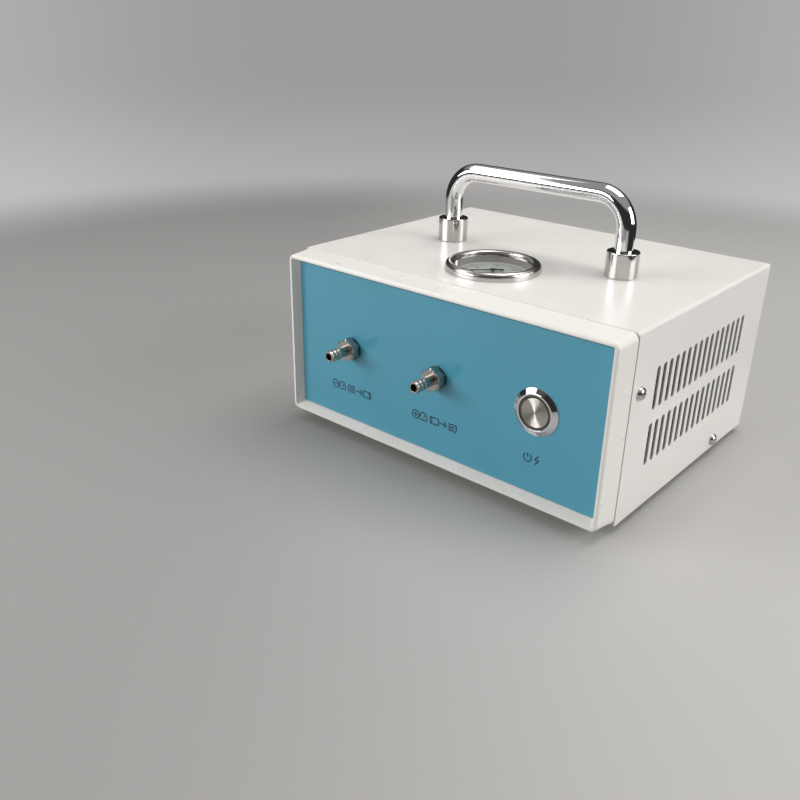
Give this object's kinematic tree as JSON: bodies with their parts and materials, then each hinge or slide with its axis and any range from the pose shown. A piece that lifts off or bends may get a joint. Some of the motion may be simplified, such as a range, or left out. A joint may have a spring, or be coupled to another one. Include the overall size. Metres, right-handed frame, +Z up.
{
  "type": "diaphragm vacuum pump",
  "caption": "Bench diaphragm vacuum pump in a folded steel case with carrying handle, top gauge, front hose barbs and power button.",
  "frame": {"origin": "on the table, under the middle of the overall box", "axes": "+X to the right seen from the front, +Y to the back, +Z up; the front panel faces -Y"},
  "size_m": [0.2558, 0.2202, 0.1773],
  "materials": {
    "case_paint": "semi-gloss cream powder coat",
    "frame_plastic": "satin moulded plastic",
    "panel_blue": "glossy teal-blue panel film",
    "plated_steel": "bright plated",
    "zinc_steel": "zinc plated",
    "nickel_plate": "nickel plated, slightly worn",
    "chrome_plate": "polished chrome",
    "brushed_cap": "turned, circular brushing",
    "brass_metal": "machined",
    "cast_alloy": "die cast",
    "black_rubber": "matte",
    "valve_rubber": "matte",
    "silicone_hose": "translucent silicone",
    "black_plastic": "moulded",
    "smoked_plastic": "translucent ring, unlit",
    "dial_white": "printed dial",
    "needle_black": "satin black",
    "lead_red": "insulated wire",
    "lens_glass": "clear flat glass"
  },
  "bodies": {
    "root": {"top_cover": "case_paint", "base_pan": "case_paint", "cover_screws": "plated_steel", "front_bezel": "frame_plastic", "bezel_screws": "zinc_steel", "front_panel": "panel_blue", "inlet_barb": "nickel_plate", "outlet_barb": "nickel_plate", "barb_washers": "black_rubber", "barb_locknuts": "nickel_plate", "button_housing": "chrome_plate", "button_light_ring": "smoked_plastic", "button_spring": "zinc_steel", "button_locknut": "nickel_plate", "switch_body": "black_plastic", "handle_bar": "chrome_plate", "handle_collars": "chrome_plate", "handle_screws": "zinc_steel", "gauge_bezel": "chrome_plate", "gauge_case": "plated_steel", "gauge_lens": "lens_glass", "gauge_dial": "dial_white", "gauge_movement": "brass_metal", "bourdon_tube": "brass_metal", "gauge_socket": "brass_metal", "gauge_clamp": "zinc_steel", "gauge_clamp_nuts": "brass_metal", "gauge_elbow": "black_plastic", "hose_tee": "black_plastic", "inlet_hose": "silicone_hose", "outlet_hose": "silicone_hose", "gauge_hose": "silicone_hose", "crankcase": "cast_alloy", "head_screws": "zinc_steel", "pump_screws": "zinc_steel", "diaphragm": "black_rubber", "valve_plate": "black_plastic", "valve_flaps": "valve_rubber", "cylinder_head": "black_plastic", "motor_can": "zinc_steel", "motor_end_cap": "black_plastic", "tab_terminals": "brass_metal", "motor_bushes": "brass_metal", "motor_magnets": "black_plastic", "motor_screws": "zinc_steel", "pump_bracket": "zinc_steel", "rubber_mounts": "black_rubber", "mount_screws": "zinc_steel", "rubber_feet": "black_rubber", "dc_jack": "black_plastic", "dc_jack_nut": "nickel_plate", "inner_leads": "lead_red"},
    "button": {"button_cap": "brushed_cap"},
    "pointer": {"gauge_needle": "needle_black"},
    "crank": {"eccentric": "plated_steel", "motor_shaft": "plated_steel", "motor_armature": "plated_steel"},
    "rod": {"connecting_rod": "cast_alloy", "rod_bearing": "plated_steel", "diaphragm_retainer": "cast_alloy"}
  },
  "joints": [
    {"name": "button_press", "type": "slide", "parent": "root", "child": "button", "axis": [0, 1, 0], "range_m": [0, 0.0025], "stiffness_N_per_m": 1200, "springref_m": -0.001, "deforming": ["button_spring"]},
    {"name": "gauge_pointer", "type": "hinge", "parent": "root", "child": "pointer", "pos_m": [0, -0.03135, 0.1223], "axis": [0, 0, -1], "range_deg": [0, 270], "stiffness_Nm_per_rad": 0.0002},
    {"name": "crank_turn", "type": "hinge", "parent": "root", "child": "crank", "pos_m": [-0.035, 0.05965, 0.0447], "axis": [1, 0, 0], "continuous": true},
    {"name": "rod_turn", "type": "hinge", "parent": "crank", "child": "rod", "pos_m": [-0.035, 0.05965, 0.0462], "axis": [1, 0, 0], "continuous": true, "deforming": ["diaphragm"]}
  ],
  "couplings": [
    {"joint": "rod_turn", "follows": "crank_turn", "ratio": -1}
  ]
}
